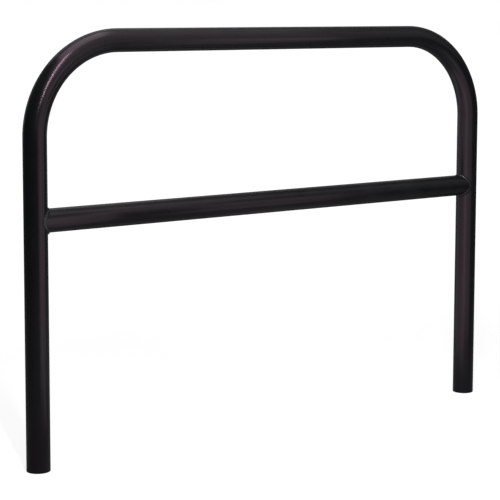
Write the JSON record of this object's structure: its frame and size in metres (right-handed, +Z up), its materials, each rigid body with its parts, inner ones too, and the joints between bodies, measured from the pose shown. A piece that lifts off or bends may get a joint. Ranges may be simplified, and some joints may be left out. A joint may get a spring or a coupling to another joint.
{
  "type": "hoop barrier",
  "caption": "Black tubular steel hoop barrier with rounded top corners and a welded mid rail, its plain legs set in the ground to guard a kerb, path or corner.",
  "frame": {"origin": "centre of the left leg's cut end, the face that goes lowest into the ground", "axes": "+X along the barrier from the left leg to the right leg, +Y from its front to its back, +Z up along the legs"},
  "size_m": [1.5003, 0.0626, 1.1001],
  "materials": {
    "coated_tube": "satin black powder coat",
    "coated_weld": "satin black powder coat over a weld bead"
  },
  "bodies": {
    "root": {"hoop": "coated_tube", "mid_rail": "coated_tube", "left_weld": "coated_weld", "right_weld": "coated_weld"}
  },
  "joints": []
}
